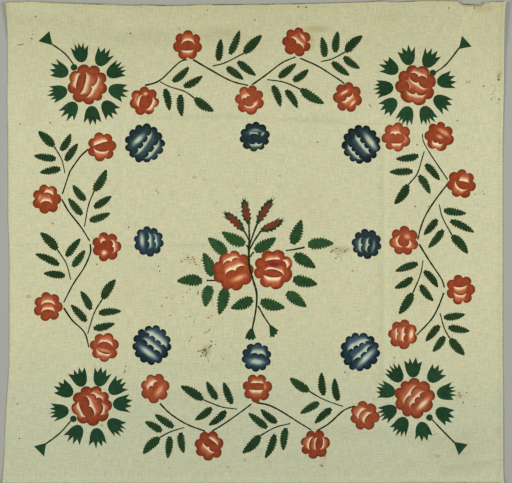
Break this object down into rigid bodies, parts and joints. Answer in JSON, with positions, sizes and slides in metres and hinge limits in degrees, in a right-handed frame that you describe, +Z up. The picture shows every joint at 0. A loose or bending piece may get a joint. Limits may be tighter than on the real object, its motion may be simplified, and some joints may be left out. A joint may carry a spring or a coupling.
{
  "type": "cushion cover",
  "caption": "Square panel of plain-woven cotton laid out flat, with a stencilled flower border and bouquet, soft fold creases and lifted corners.",
  "frame": {"origin": "middle of the panel's outline, on the surface it lies on", "axes": "+Z up out of the printed face, +X to the right of the design along the width, +Y to the top of the design"},
  "size_m": [0.7746, 0.743, 0.0083],
  "materials": {
    "printed_cotton": "matt plain-woven cotton, stencilled in red, green and blue, with faint age stains"
  },
  "bodies": {
    "root": {"cover_cloth": "printed_cotton"}
  },
  "joints": []
}
